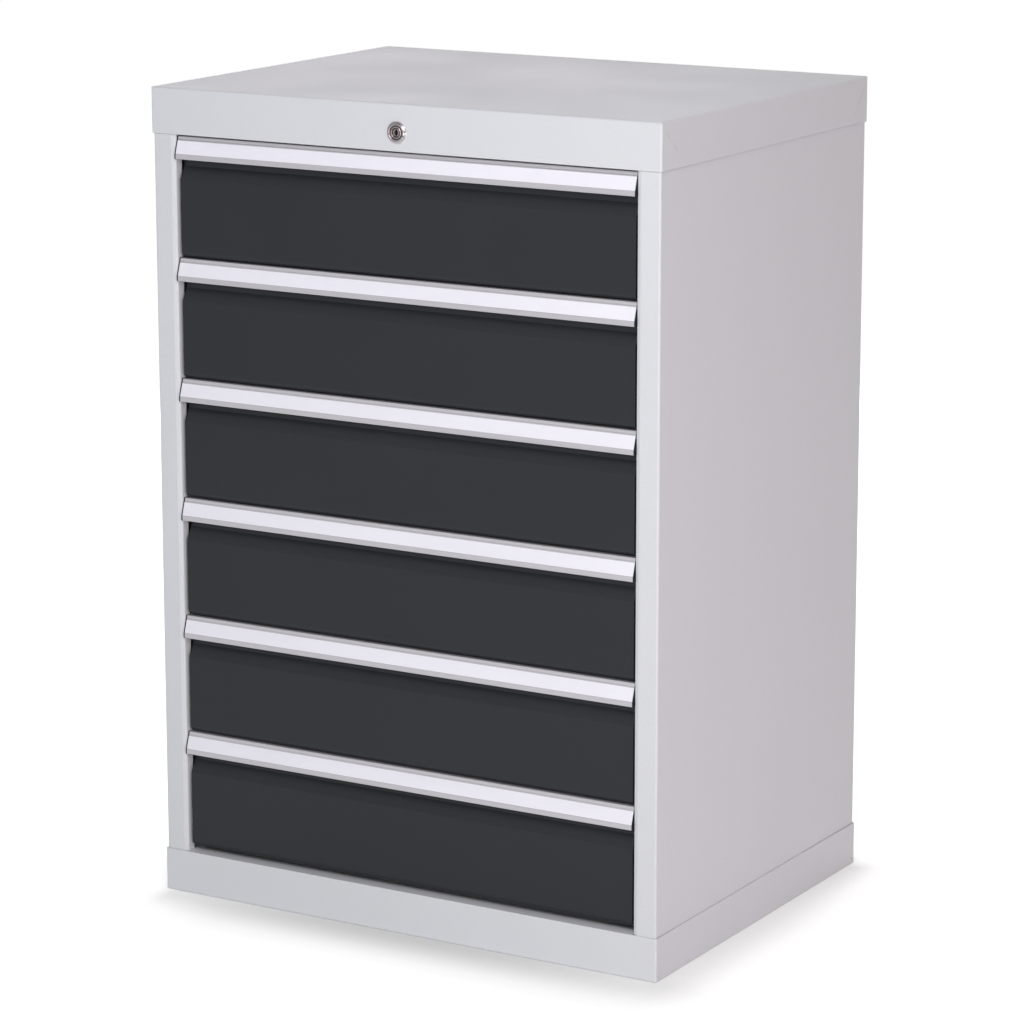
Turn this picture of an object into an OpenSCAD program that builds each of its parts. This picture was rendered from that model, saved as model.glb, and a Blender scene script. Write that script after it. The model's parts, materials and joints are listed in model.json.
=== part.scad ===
// Free-standing sheet-steel drawer cabinet. Six equal drawers run on telescopic rails.
// Each drawer is a tray with a folded front and an extruded aluminium grip strip that
// holds a label. A folded cover carries one cylinder lock for all the drawers.
// Frame: origin at floor level under the centre, +X right, +Y to the back, +Z up.

/* [Cabinet] */
// Overall width, over the cover and the plinth
cabinet_w = 705; // [655:5:805]
// Overall depth, over the cover and the plinth
cabinet_d = 536; // [520:2:640]
// Height of the cover's skirt
cover_h = 56.5; // [54:0.5:70]
// Height of the plinth's skirt
plinth_h = 54.5; // [45:0.5:90]
// Sheet of the cover and the plinth
shell_t = 1.5; // [1:0.1:2]
// Outside radius of the cover's and the plinth's folds
shell_r = 2.5; // [2.1:0.1:3.5]
// Width of the flange round the plinth's foot
foot_flange_w = 34; // [28:1:60]
// Depth of the sill at the plinth's top edge
sill_d = 20; // [18.5:0.5:23]
// Depth of the hem under the cover's front
cover_hem_d = 12; // [6:1:16]
// Clearance between two sheets that fit over or beside each other
fit_gap = 0.3; // [0.2:0.1:0.5]

/* [Side and rear panels] */
// Sheet of the side panels
panel_t = 1.5; // [1:0.1:2]
// Inside radius of the panels' folds
panel_r = 1; // [0.6:0.1:1.5]
// Width of the upright at each side of the drawers
upright_w = 31; // [29:0.5:36]
// Width of the sloped edge of the upright
slope_w = 5.6; // [4:0.2:8]
// How far that edge slopes back
slope_set = 1.8; // [1:0.1:2.4]
// Depth of the upright's return beside the drawer fronts
return_d = 16; // [14:0.5:18]
// Width of the flange behind the upright
inner_flange_w = 14; // [8:1:20]
// Width of the flange that the rear panel is screwed to
rear_flange_w = 26; // [20:1:40]
// Sheet of the rear panel
rear_t = 1.2; // [1:0.1:1.5]
// Sheet of the floor panel
floor_t = 1.5; // [1:0.1:2]

/* [Head rails and posts] */
// Sheet of the two rails under the cover
head_rail_t = 2; // [1.5:0.1:3]
// Depth of those rails
head_rail_d = 22; // [18:1:30]
// Distance of the front rail behind the uprights' face
head_rail_set = 2.6; // [2.4:0.1:5]
// Sheet of the slotted posts
post_t = 2; // [1.5:0.1:3]
// Distance from the side panel to a post's slotted face
post_depth = 31.2; // [31:0.2:40]
// Width of a post's slotted face
post_w = 40; // [32:1:60]
// Distance of the front posts behind the uprights' face
post_front_set = 34; // [26:1:60]
// Distance of the rear posts before the rear ends of the rails
post_rear_inset = 44; // [20:1:120]
// Height between two slots
slot_pitch = 25; // [25:5:50]
// Height of a slot
slot_h = 14; // [11:1:18]
// Width of a slot
slot_w = 4; // [3:0.5:6]

/* [Drawers] */
// Number of drawers
drawer_count = 6; // [1:1:6]
// Height from one drawer to the next
drawer_pitch = 150; // [125:25:200]
// Gap between a grip strip and the front above it
drawer_gap = 1; // [0.8:0.1:2]
// Gap between the cover and the top grip strip
head_gap = 2.5; // [2:0.5:5]
// Gap between the plinth and the lowest front
sill_gap = 6.5; // [4:0.5:10]
// Depth inside a tray
tray_in_d = 400; // [350:25:425]
// Space between the top of a tray and the top of its front
tray_drop = 22; // [16:1:50]
// Sheet of a tray
tray_t = 1.2; // [1:0.1:1.5]
// Height of the folded edge on a tray's walls
tray_hem_h = 8; // [5:1:12]
// Height of a tray's floor over the lowest edge of its front
tray_rise = 6; // [4:1:10]
// Distance between two divider slots in a tray's walls
divider_pitch = 25; // [25:25:100]
// Width of a divider slot
divider_slot_w = 2; // [1.5:0.5:3]
// Height of a divider slot
divider_slot_h = 30; // [20:1:35]

/* [Drawer fronts] */
// Sheet of a front
front_t = 1.2; // [1:0.1:1.5]
// Gap between a front and the upright beside it
front_side_gap = 3.6; // [2:0.1:5]
// Distance of a front's main face behind the uprights' face
front_set = 5.5; // [4.5:0.5:7.5]
// Distance of the finger recess behind the uprights' face
recess_set = 14.6; // [13.4:0.2:15.6]
// Height of the recess's upright part below the grip
recess_h = 9.3; // [6:0.1:14]
// Height of the slope from the recess down to the main face
recess_slope_h = 15.5; // [10:0.5:22]
// Depth of the folded edges of a front
front_d = 16.5; // [15:0.5:17.5]
// Inside radius of the front's lower fold
front_foot_r = 6; // [3:0.5:7]
// Inside radius of the front's other folds
front_r = 1.2; // [0.8:0.1:2]
// Width of the flange behind each end of a front
front_flange_w = 24; // [22:1:40]

/* [Grip strips and labels] */
// Gap between a grip strip's end and the upright
grip_side_gap = 1.3; // [1:0.1:2.5]
// How far the lip stands before the uprights' face
grip_proud = 1.3; // [0.5:0.1:1.4]
// Height of the bead along the top
bead_h = 4.6; // [4:0.2:6]
// Distance of the bead behind the lip
bead_set = 6.4; // [6:0.1:9]
// Height of the sloped label face
label_face_h = 17.4; // [14:0.2:22]
// How far the label face's top edge lies behind the lip
label_lean = 5.5; // [3:0.1:6]
// Height of the lip
lip_h = 5.8; // [5:0.2:8]
// Wall of the grip strip
grip_t = 1.6; // [1.4:0.1:2]
// Radius of the grip strip's rounded edges
grip_edge_r = 1; // [0.6:0.1:1.2]
// Height of the plain edge above and below a label
label_edge = 1; // [0.8:0.1:2]
// Thickness of a label with its clear cover
label_t = 0.5; // [0.3:0.1:0.7]

/* [Telescopic rails] */
// Height of the rail channels
rail_h = 45; // [35:1:55]
// Depth of a rail channel
rail_d = 7.5; // [7:0.1:10]
// Sheet of a rail channel
rail_t = 1.5; // [1.2:0.1:2]
// Height of the lips that hold the middle rail
rail_lip_h = 8; // [6:0.5:12]
// Gap between the mouths of the two channels
rail_mouth_gap = 1.8; // [1.2:0.1:3]
// Sheet of the middle rail
middle_t = 2; // [1.5:0.1:2.5]
// Running clearance of the middle rail
run_gap = 0.4; // [0.3:0.1:0.6]
// How much longer the rails are than the inside of the tray
rail_extra = 60; // [30:5:70]
// Distance of the rails behind the uprights' face
rail_front_set = 24; // [23:0.5:26]
// Depth of the rails' centre line below the top of a drawer
rail_drop = 88; // [86:1:100]

/* [Lock] */
// Distance of the lock's axis below the top of the cover
lock_drop = 34; // [28:1:34]
// Radius of the flange under the lock's head
lock_flange_r = 13.2; // [12:0.2:15]
// Thickness of that flange
lock_flange_t = 0.9; // [0.6:0.1:1.4]
// Radius of the lock's head
lock_head_r = 11.2; // [10:0.2:11.8]
// Width of the head's flat rim
lock_rim_w = 1; // [0.6:0.1:1.5]
// Depth of the dish inside the rim
lock_dish_d = 1.3; // [0.6:0.1:1.8]
// How far the head stands before the cover
lock_head_h = 3.2; // [2:0.2:5]
// Radius of the lock's barrel
lock_barrel_r = 9.3; // [8.5:0.1:10.5]
// Length of the barrel behind the cover's face
lock_barrel_len = 26; // [18:1:40]
// Radius of the turning core
lock_core_r = 7; // [5:0.5:7.5]
// Radius of the round recess in the core's face
core_recess_r = 4.7; // [4.4:0.1:4.9]
// Width of the keyway
keyway_w = 2.2; // [1.5:0.1:3]
// Height of the keyway
keyway_h = 7.6; // [6:0.2:8.4]
// Radius of the shaft behind the core
lock_shaft_r = 4; // [3:0.5:5]
// Length of the crank on the shaft
crank_r = 14; // [12:1:16]
// Radius of the crank's pin
crank_pin_r = 3; // [2.5:0.5:4]
// Radius of the vertical locking rod
lock_rod_r = 4; // [3:0.5:4.5]
// Distance of the locking rod behind the trays
lock_rod_set = 27; // [25:1:32]
// Height of the rod's blades, one for each drawer
blade_h = 20; // [18:1:24]
// Distance from the rod's axis to the end of a blade
blade_len = 24; // [22:1:30]
// Thickness of a blade
blade_t = 5; // [4:0.5:7]
// Height of a tray's catch over its floor
catch_rise = 45; // [42:1:60]
// Width of a catch's foot on the back of its tray
catch_foot_w = 14; // [10:1:24]
// Height of a catch
catch_h = 12; // [10:0.5:20]
// Sheet of a catch
catch_t = 2; // [1.5:0.1:3]
// Radius of a catch's stud
stud_r = 2.5; // [2:0.1:3.5]
// Length of a catch's stud
stud_len = 13; // [10:0.5:14]

/* [Hidden] */
fine = 64;
fold_steps = 4;
joint_play = 0.05;      // radial clearance of a turning shaft
slide_play = 0.1;       // radial clearance of a sliding rod
weld_gap = 0.05;        // between two sheets that are welded together

body_w = cabinet_w - 2 * (shell_t + fit_gap);
body_d = cabinet_d - 2 * (shell_t + fit_gap);
face_y = -body_d / 2;
open_x = body_w / 2 - upright_w;
wall_x = body_w / 2 - panel_t;
rear_y = body_d / 2 - panel_t - rear_t;
cabinet_h = plinth_h + sill_gap + drawer_count * drawer_pitch - drawer_gap + head_gap + cover_h;
cover_z = cabinet_h - cover_h;
floor_z = plinth_h - shell_t - fit_gap;
inside_top_z = cabinet_h - shell_t;

// Highest and lowest edge of drawer n, counted from the top
function top_z(n) = cover_z - head_gap - (n - 1) * drawer_pitch;
function bottom_z(n) = top_z(n) - drawer_pitch + drawer_gap;

post_x = wall_x - post_depth;
tray_x = post_x - 2 * rail_d - rail_mouth_gap;
front_x = open_x - front_side_gap;
grip_x = open_x - grip_side_gap;
grip_h = bead_h + label_face_h + lip_h;
grip_y = face_y - grip_proud;
grip_d = recess_set + grip_proud;
front_back_y = face_y + front_set + front_d;
tray_y = front_back_y;
tray_d = tray_in_d + 2 * tray_t;
tray_h = drawer_pitch - drawer_gap - tray_rise - tray_drop;
rail_y = face_y + rail_front_set;
rail_len = tray_in_d + rail_extra;
function tray_z(n) = bottom_z(n) + tray_rise;
function rail_z(n) = top_z(n) - rail_drop;

lock_z = cabinet_h - lock_drop;
crank_swing = 45;                        // the crank stands this far below level at rest
rod_x = -crank_r * (1 + cos(crank_swing)) / 2;
rod_y = tray_y + tray_d + lock_rod_set;
crank_drop = crank_r * sin(crank_swing);
bracket_t = 2;
crank_t = 4;
yoke_t = 3;
yoke_wall = 3;
yoke_gap = 1;                           // between the bearing, the crank and the yoke
pin_play = 0.7;                         // round the crank's pin in the yoke
crank_y = rod_y - lock_rod_r - yoke_gap - crank_t;
bearing_y = crank_y - yoke_gap - bracket_t;
blade_gap = 3;                          // from a lowered blade up to its drawer's stud
blade_play = 1.5;                       // beside a blade
stud_gap = 1;                           // from a raised blade back to its drawer's stud
guide_drop = 12;                        // from the cover down to the plate that guides the rod
guide_z = cover_z - guide_drop;
rod_foot = 28;                          // from the floor panel down to the rod's end

screw_r = 2;
screw_head_r = 4;
screw_head_h = 1.5;
screw_tail = 4;                         // inside the rear panel
screw_count = 5;

body_grey = "#d3d4d9";
front_grey = "#36383b";
alu = "#bcbdc3";
label_white = "#eceef5";
tray_grey = "#9ea0a3";
zinc = "#b4b8bc";
chrome = "#d8d8d8";

// ---- folded sheet ----
// A sheet is drawn from the path of its outer face. Its thickness t lies to the left
// of the path, or to the right where t is negative. r is the inside radius of the folds,
// one number or a list with one for each point of the path.
function heading(p, i) = (p[i + 1] - p[i]) / norm(p[i + 1] - p[i]);
function left_of(v) = [-v[1], v[0]];
function turned(v, a) = [v[0] * cos(a) - v[1] * sin(a), v[0] * sin(a) + v[1] * cos(a)];
function turn_angle(u, v) = atan2(u[0] * v[1] - u[1] * v[0], u * v);
function inside_r(r, i) = is_list(r) ? r[i] : r;

// The arc of the fold at point i, on the line that lies off to the left of the path
function fold_arc(p, i, off, t, r) =
    let (u = heading(p, i - 1),
         a = turn_angle(u, heading(p, i)),
         s = sign(a),
         path_r = inside_r(r, i) + (s * t > 0 ? abs(t) : 0),
         centre = p[i] - u * path_r * tan(abs(a) / 2) + left_of(u) * s * path_r)
    [for (k = [0:fold_steps])
        centre - turned(left_of(u), a * k / fold_steps) * s * (path_r - s * off)];

function sheet_line(p, off, t, r) =
    let (last = len(p) - 1)
    concat([p[0] + left_of(heading(p, 0)) * off],
           [for (i = [1:last - 1]) each fold_arc(p, i, off, t, r)],
           [p[last] + left_of(heading(p, last - 1)) * off]);

function reversed(list) = [for (i = [len(list) - 1:-1:0]) list[i]];

module folded_sheet(p, t, r)
    polygon(concat(sheet_line(p, 0, t, r), reversed(sheet_line(p, t, t, r))));

// Extrudes a (y, z) outline along x and an (x, z) outline along y, both centred
module along_x(w) rotate([90, 0, 90]) linear_extrude(w, center = true) children();
module along_y(d) rotate([90, 0, 0]) linear_extrude(d, center = true) children();

module left_side() mirror([1, 0, 0]) children();
module both_sides() {
    children();
    left_side() children();
}

// A cylinder along y, from the front y value to the rear one
module rod_y_axis(r, y0, y1)
    translate([0, y1, 0]) rotate([90, 0, 0]) cylinder(r = r, h = y1 - y0, $fn = fine);

// ---- cover and plinth ----
module rounded_rect(w, d, r) {
    square([w - 2 * r, d], center = true);
    square([w, d - 2 * r], center = true);
    for (sx = [-1, 1], sy = [-1, 1])
        translate([sx * (w / 2 - r), sy * (d / 2 - r)]) circle(r = r, $fn = fine);
}

module round_shouldered(w, h, r) {
    translate([-w / 2, 0]) square([w, h - r]);
    translate([-w / 2 + r, 0]) square([w - 2 * r, h]);
    for (s = [-1, 1]) translate([s * (w / 2 - r), h - r]) circle(r = r, $fn = fine);
}

// A lid with its edges folded down all round, its open side at z = 0
module folded_lid(h) {
    difference() {
        intersection() {
            linear_extrude(h) rounded_rect(cabinet_w, cabinet_d, shell_r);
            along_x(cabinet_w) round_shouldered(cabinet_d, h, shell_r);
            along_y(cabinet_d) round_shouldered(cabinet_w, h, shell_r);
        }
        translate([0, 0, -shell_t])
            linear_extrude(h)
                rounded_rect(cabinet_w - 2 * shell_t, cabinet_d - 2 * shell_t, shell_r - shell_t);
    }
}

// A strip folded back from the front skirt, between the uprights
module front_hem(d, z) {
    hem_w = 2 * (open_x - fit_gap);
    translate([-hem_w / 2, -cabinet_d / 2 + shell_t / 2, z])
        cube([hem_w, shell_t / 2 + fit_gap + d, shell_t]);
}

module top_cover() color(body_grey) difference() {
    union() {
        translate([0, 0, cover_z]) folded_lid(cover_h);
        front_hem(cover_hem_d, cover_z);
    }
    translate([0, 0, lock_z]) rod_y_axis(lock_barrel_r + slide_play, -cabinet_d / 2 - 1, face_y + 1);
}

module plinth() color(body_grey) {
    difference() {
        translate([0, 0, plinth_h]) mirror([0, 0, 1]) folded_lid(plinth_h);
        translate([0, 0, -1])
            linear_extrude(plinth_h)
                square([cabinet_w - 2 * foot_flange_w, cabinet_d - 2 * foot_flange_w], center = true);
    }
    front_hem(sill_d, plinth_h - shell_t);
}

// ---- panels ----
module side_panel() color(body_grey)
    difference() {
        translate([0, 0, shell_t])
            linear_extrude(inside_top_z - shell_t)
                folded_sheet([[body_w / 2 - rear_flange_w, body_d / 2],
                              [body_w / 2, body_d / 2],
                              [body_w / 2, face_y],
                              [open_x + slope_w, face_y],
                              [open_x, face_y + slope_set],
                              [open_x, face_y + return_d],
                              [open_x + inner_flange_w, face_y + return_d]], -panel_t, panel_r);
        screw_holes();
    }

rear_half_w = wall_x - panel_r - fit_gap;   // clear of the side panels' folds
module rear_panel() color(body_grey)
    difference() {
        translate([-rear_half_w, rear_y, shell_t])
            cube([2 * rear_half_w, rear_t, inside_top_z - shell_t]);
        both_sides() screw_holes();
    }

module floor_panel() color(body_grey)
    difference() {
        along_x(2 * (wall_x - fit_gap))
            folded_sheet([[face_y + return_d + fit_gap, shell_t],
                          [face_y + return_d + fit_gap, floor_z],
                          [rear_y - fit_gap, floor_z],
                          [rear_y - fit_gap, shell_t]], -floor_t, panel_r);
        rod_hole();
    }

// Screws that hold the rear panel to the side panels' rear flanges
screw_x = body_w / 2 - rear_flange_w / 2;
screw_end_gap = 40;                     // from the plinth and from the cover to the nearest screw
screw_span = cover_z - plinth_h - 2 * screw_end_gap;
function screw_z(i) = plinth_h + screw_end_gap + i * screw_span / (screw_count - 1);

module at_screws()
    for (i = [0:screw_count - 1]) translate([screw_x, 0, screw_z(i)]) children();

module screw_holes()
    at_screws() rod_y_axis(screw_r + slide_play, rear_y - 1, body_d / 2 + 1);

module rear_screws() color(zinc)
    both_sides() at_screws() {
        rod_y_axis(screw_r, rear_y - screw_tail, body_d / 2 + screw_head_h / 2);
        difference() {
            rod_y_axis(screw_head_r, body_d / 2, body_d / 2 + screw_head_h);
            for (a = [0, 90])
                rotate([0, a, 0])
                    translate([-screw_head_r * 0.55, body_d / 2 + screw_head_h / 2, -0.5])
                        cube([screw_head_r * 1.1, screw_head_h, 1]);
        }
    }

// ---- head rails and slotted posts ----
module head_rail_front() color(body_grey)
    difference() {
        along_x(2 * open_x)
            folded_sheet([[face_y + head_rail_set + head_rail_d, cover_z + shell_t + fit_gap],
                          [face_y + head_rail_set, cover_z + shell_t + fit_gap],
                          [face_y + head_rail_set, inside_top_z],
                          [face_y + head_rail_set + head_rail_d, inside_top_z]], -head_rail_t, panel_r);
        translate([0, 0, lock_z])
            rod_y_axis(lock_barrel_r + slide_play, face_y, face_y + head_rail_set + head_rail_t + 1);
    }

module head_rail_rear() color(body_grey)
    along_x(2 * (wall_x - fit_gap))
        folded_sheet([[rear_y - head_rail_d, cover_z + shell_t + fit_gap],
                      [rear_y, cover_z + shell_t + fit_gap],
                      [rear_y, inside_top_z],
                      [rear_y - head_rail_d, inside_top_z]], head_rail_t, panel_r);

// A post of U section, slotted on the 25 mm raster that the rails hang in
post_front_y = face_y + post_front_set;
post_rear_y = rail_y + rail_len - post_rear_inset - post_w;
module post(y) color(zinc) {
    slots_up = floor((cover_z - slot_h - rail_z(1)) / slot_pitch);
    slots_down = floor((rail_z(1) - floor_z - slot_h) / slot_pitch);
    difference() {
        translate([0, 0, floor_z])
            linear_extrude(cover_z - floor_z)
                folded_sheet([[wall_x, y], [post_x, y], [post_x, y + post_w], [wall_x, y + post_w]],
                             -post_t, panel_r);
        for (k = [-slots_down:slots_up])
            translate([post_x - 1, y + (post_w - slot_w) / 2, rail_z(1) + k * slot_pitch - slot_h / 2])
                cube([post_t + 2, slot_w, slot_h]);
    }
}

// ---- telescopic rails ----
// A lipped channel standing on x = 0 and open towards +x
module channel() {
    folded_sheet([[rail_d, -rail_h / 2 + rail_lip_h],
                  [rail_d, -rail_h / 2],
                  [0, -rail_h / 2],
                  [0, rail_h / 2],
                  [rail_d, rail_h / 2],
                  [rail_d, rail_h / 2 - rail_lip_h]], -rail_t, rail_t / 2);
}

module rail_place(n) translate([0, rail_y + rail_len / 2, rail_z(n)]) children();

// The tab that hangs a cabinet rail in a post's slot, hooked down behind the slotted face.
// It is welded to the rail's back.
hook_drop = 4;
module rail_hook() {
    hook_w = slot_w - 2 * fit_gap;
    hook_h = slot_h - 4 * fit_gap;
    foot_z = fit_gap - slot_h / 2;
    reach = post_t + fit_gap;
    translate([weld_gap, -hook_w / 2, foot_z]) cube([reach + rail_t - weld_gap, hook_w, hook_h - hook_drop]);
    translate([reach, -hook_w / 2, foot_z - hook_drop]) cube([rail_t, hook_w, hook_h]);
}

module cabinet_rails() color(zinc)
    for (n = [1:drawer_count]) {
        rail_place(n) along_y(rail_len) translate([post_x, 0]) mirror([1, 0]) channel();
        for (y = [post_front_y, post_rear_y])
            translate([post_x, y + post_w / 2, rail_z(n)]) rail_hook();
    }

module drawer_rails(n) color(zinc)
    both_sides() rail_place(n) along_y(rail_len) translate([tray_x, 0]) channel();

// The middle rail: a tall flange inside each channel, joined by two webs through their mouths
module middle_rails(n) {
    flange_h = rail_h - 2 * rail_t - 2 * run_gap;
    webs_h = rail_h - 2 * rail_lip_h - 2 * run_gap;
    inner = tray_x + rail_d / 2;
    outer = post_x - rail_d / 2;
    color(zinc) both_sides() rail_place(n) along_y(rail_len) {
        for (x = [inner, outer])
            translate([x, 0]) square([middle_t, flange_h], center = true);
        for (s = [-1, 1])
            translate([(inner + outer) / 2, s * (webs_h - middle_t) / 2])
                square([outer - inner, middle_t], center = true);
    }
}

// ---- drawers ----
// A tray is welded from five sheets: a floor and four walls that stand round it
module tray(n) color(tray_grey) {
    inner_w = 2 * (tray_x - tray_t - weld_gap);
    inner_d = tray_in_d - 2 * weld_gap;
    translate([0, tray_y + tray_d / 2, tray_z(n)]) {
        translate([-inner_w / 2, -inner_d / 2, 0]) cube([inner_w, inner_d, tray_t]);
        both_sides() translate([tray_x, 0, 0]) difference() {
            tray_wall(tray_d, inner_d - 2 * tray_t);
            divider_slots();
        }
        for (turn = [-90, 90]) rotate([0, 0, turn]) translate([tray_d / 2, 0, 0]) tray_wall(inner_w, inner_w);
    }
    lock_catch(tray_z(n) + catch_rise);
}

// A tray's wall along y with its outer face at x = 0, its upper edge folded flat inwards
module tray_wall(len, hem_len) {
    translate([-tray_t, -len / 2, 0]) cube([tray_t, len, tray_h]);
    translate([-2 * tray_t, -hem_len / 2, tray_h - tray_hem_h]) cube([2 * tray_t, hem_len, tray_hem_h]);
}

// Upright slots in a side wall, where dividers are hung
module divider_slots() {
    count = floor(tray_in_d / divider_pitch) - 1;
    for (k = [1:count])
        translate([-tray_t - 1, k * divider_pitch - (tray_in_d + divider_slot_w) / 2,
                   tray_h - tray_hem_h - divider_slot_h])
            cube([tray_t + 2, divider_slot_w, divider_slot_h]);
}

// An ear behind the tray with a riveted stud, in front of which the rod's blade rises
module lock_catch(z) {
    foot_y = tray_y + tray_d + fit_gap;
    stud_y = rod_y + blade_t / 2 + stud_gap + stud_r - foot_y;
    edge = 1.5;
    neck_r = 0.6 * stud_r;
    chamfer = 0.4;
    translate([rod_x + blade_len + blade_play, foot_y, z]) {
        difference() {
            linear_extrude(catch_h, center = true)
                folded_sheet([[0, stud_y + stud_r + edge], [0, 0], [catch_foot_w, 0]], catch_t, catch_t / 2);
            translate([-1, stud_y, 0])
                rotate([0, 90, 0]) cylinder(r = neck_r + joint_play, h = catch_t + 2, $fn = fine);
        }
        translate([0, stud_y, 0])
            rotate([0, -90, 0])
                rotate_extrude($fn = fine)
                    polygon([[0, -catch_t - edge], [stud_r - chamfer, -catch_t - edge],
                             [stud_r, -catch_t - edge + chamfer], [stud_r, -catch_t - joint_play],
                             [neck_r, -catch_t - joint_play], [neck_r, joint_play],
                             [stud_r, joint_play], [stud_r, stud_len - chamfer],
                             [stud_r - chamfer, stud_len], [0, stud_len]]);
    }
}

// The folded front, from its lower flange up over the slope to the flange behind the grip
function front_path(n) = [
    [front_back_y, bottom_z(n)],
    [face_y + front_set, bottom_z(n)],
    [face_y + front_set, top_z(n) - grip_h - recess_h - recess_slope_h],
    [face_y + recess_set, top_z(n) - grip_h - recess_h],
    [face_y + recess_set, top_z(n) - bead_h / 2],
    [front_back_y, top_z(n) - bead_h / 2]];
front_radii = [0, front_foot_r, front_r, front_r, front_r, 0];

module drawer_front(n) color(front_grey) {
    along_x(2 * front_x) folded_sheet(front_path(n), -front_t, front_radii);
    both_sides() {
        translate([front_x - front_t / 2, 0, 0])
            along_x(front_t) polygon(sheet_line(front_path(n), 0, -front_t, front_radii));
        translate([front_x - front_flange_w, front_back_y - front_t, bottom_z(n) + front_t / 2])
            cube([front_flange_w - front_t / 2, front_t, drawer_pitch - drawer_gap - bead_h / 2 - front_t]);
    }
}

// The grip strip's section: x is the distance behind the lip, y the distance below the top.
// The label face leans from the bead down to the lip and has a shallow seat for the label.
label_top = [label_lean, bead_h];
label_foot = [0, bead_h + label_face_h];
label_len = norm(label_foot - label_top);
label_run = (label_foot - label_top) / label_len;
function on_label(s, inward) = label_top + label_run * s + [label_run[1], -label_run[0]] * inward;

function quarter(centre, r, from) =
    [for (k = [0:fold_steps]) let (a = from + 90 * k / fold_steps) centre + r * [cos(a), sin(a)]];

module grip_section() {
    cavity_top = bead_h + grip_t;
    lip_back = grip_t + 0.5;
    polygon(concat(
        [[grip_d, 0]],
        reversed(quarter([bead_set + grip_edge_r, grip_edge_r], grip_edge_r, 180)),
        [[bead_set, bead_h - grip_t / 2], [label_lean, bead_h],
         on_label(label_edge, 0), on_label(label_edge, label_t),
         on_label(label_len - label_edge, label_t), on_label(label_len - label_edge, 0),
         label_foot],
        reversed(quarter([grip_edge_r, grip_h - grip_edge_r], grip_edge_r, 90)),
        [[lip_back, grip_h],
         [lip_back, label_foot[1]],
         [lip_back + label_lean * (label_foot[1] - cavity_top) / label_face_h, cavity_top],
         [grip_d - grip_t, cavity_top],
         [grip_d - grip_t, grip_h - grip_t],
         [grip_d, grip_h - grip_t]]));
}

// Stands a section of the grip in its place on drawer n
module on_grip(n) translate([0, grip_y, top_z(n)]) along_x(2 * grip_x) mirror([0, 1]) children();

module drawer_grip(n) color(alu) on_grip(n) grip_section();

module drawer_label(n) color(label_white)
    on_grip(n)
        polygon([on_label(label_edge, 0), on_label(label_edge, label_t),
                 on_label(label_len - label_edge, label_t), on_label(label_len - label_edge, 0)]);

// ---- central lock ----
module at_lock() translate([0, 0, lock_z]) children();

barrel_end_y = -cabinet_d / 2 + lock_barrel_len;
head_edge = 0.4;                        // chamfer of the head and of its flange
module lock_head()
    rotate_extrude($fn = fine)
        polygon([[0, 0], [lock_flange_r, 0],
                 [lock_flange_r, lock_flange_t - head_edge], [lock_flange_r - head_edge, lock_flange_t],
                 [lock_head_r, lock_flange_t],
                 [lock_head_r, lock_head_h - head_edge], [lock_head_r - head_edge, lock_head_h],
                 [lock_head_r - lock_rim_w, lock_head_h],
                 [lock_core_r + head_edge, lock_head_h - lock_dish_d],
                 [0, lock_head_h - lock_dish_d]]);

// A notch through the head's rim, which shows which way the key points
mark_angle = 20;
mark_w = 2.2;
module lock_mark() {
    mark_len = lock_head_r - lock_core_r;
    rotate([0, mark_angle, 0])
        translate([lock_core_r + 2 * head_edge, -cabinet_d / 2 - lock_head_h - 1, 0])
            rotate([-90, 0, 0])
                linear_extrude(1 + lock_dish_d)
                    polygon([[0, 0], [mark_len, mark_w / 2], [mark_len, -mark_w / 2]]);
}

module lock_housing() color(chrome) at_lock() difference() {
    union() {
        translate([0, -cabinet_d / 2, 0]) rotate([90, 0, 0]) lock_head();
        rod_y_axis(lock_barrel_r, -cabinet_d / 2 - 0.1, barrel_end_y);
    }
    rod_y_axis(lock_core_r + joint_play, -cabinet_d / 2 - lock_head_h - 1, barrel_end_y + 1);
    lock_mark();
}

nut_y = face_y + head_rail_set + head_rail_t;
nut_t = 4;
nut_wall = 3.7;
module lock_nut() color(zinc) at_lock() difference() {
    translate([0, nut_y + nut_t, 0])
        rotate([90, 0, 0]) cylinder(r = lock_barrel_r + nut_wall, h = nut_t, $fn = 6);
    rod_y_axis(lock_barrel_r + joint_play, nut_y - 1, nut_y + nut_t + 1);
}

core_back_y = barrel_end_y + 2;
core_face_y = -cabinet_d / 2 - lock_head_h + lock_dish_d;
core_recess_d = 0.6;
keyway_d = 14;
module lock_core() color(chrome) at_lock() difference() {
    rod_y_axis(lock_core_r, core_face_y, core_back_y);
    rod_y_axis(core_recess_r, core_face_y - 1, core_face_y + core_recess_d);
    translate([-keyway_w / 2, core_face_y - 1, -keyway_h / 2]) cube([keyway_w, keyway_d, keyway_h]);
}

// The shaft from the core to the crank, whose pin lifts the locking rod
crank_eye_r = crank_pin_r + 1;
module lock_shaft() color(zinc) at_lock() {
    rod_y_axis(lock_shaft_r, core_back_y, crank_y + crank_t);
    rotate([0, 180 - crank_swing, 0]) {
        translate([0, crank_y, -crank_eye_r]) cube([crank_r, crank_t, 2 * crank_eye_r]);
        translate([crank_r, 0, 0]) {
            rod_y_axis(crank_eye_r, crank_y, crank_y + crank_t);
            rod_y_axis(crank_pin_r, crank_y, rod_y + yoke_t);
        }
    }
}

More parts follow.
